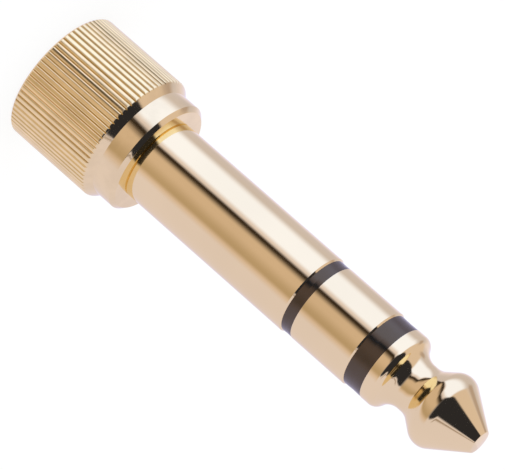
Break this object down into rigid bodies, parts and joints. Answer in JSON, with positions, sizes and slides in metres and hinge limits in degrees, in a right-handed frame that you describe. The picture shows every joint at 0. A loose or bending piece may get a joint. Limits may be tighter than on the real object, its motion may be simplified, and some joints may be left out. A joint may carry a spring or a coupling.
{
  "type": "audio jack adapter",
  "caption": "Gold-plated screw-on audio adapter with a knurled grip: a small stereo socket at the rear and a large stereo plug in front.",
  "frame": {"origin": "centre of the grip's rear face, on the common axis; the part stands on that face", "axes": "+Z along the common axis, from the threaded mouth towards the plug's tip"},
  "size_m": [0.0102, 0.0102, 0.0403],
  "materials": {
    "gold_turned": "polished pale gold plating on turned brass",
    "gold_knurled": "pale gold plating on straight-knurled brass",
    "insulator_black": "glossy black moulded plastic",
    "moulded_black": "satin black moulded plastic",
    "spring_bronze": "plain phosphor bronze strip",
    "washer_board": "pressed brown insulating board"
  },
  "bodies": {
    "root": {"knurled_head": "gold_knurled", "sleeve_contact": "gold_turned", "socket_carrier": "moulded_black", "ground_spring": "spring_bronze", "ring_spring": "spring_bronze", "tip_spring": "spring_bronze", "terminal_washer": "washer_board", "shoulder_washer": "washer_board", "ring_insulator": "insulator_black", "ring_contact": "gold_turned", "tip_insulator": "insulator_black", "tip_contact": "gold_turned"}
  },
  "joints": []
}
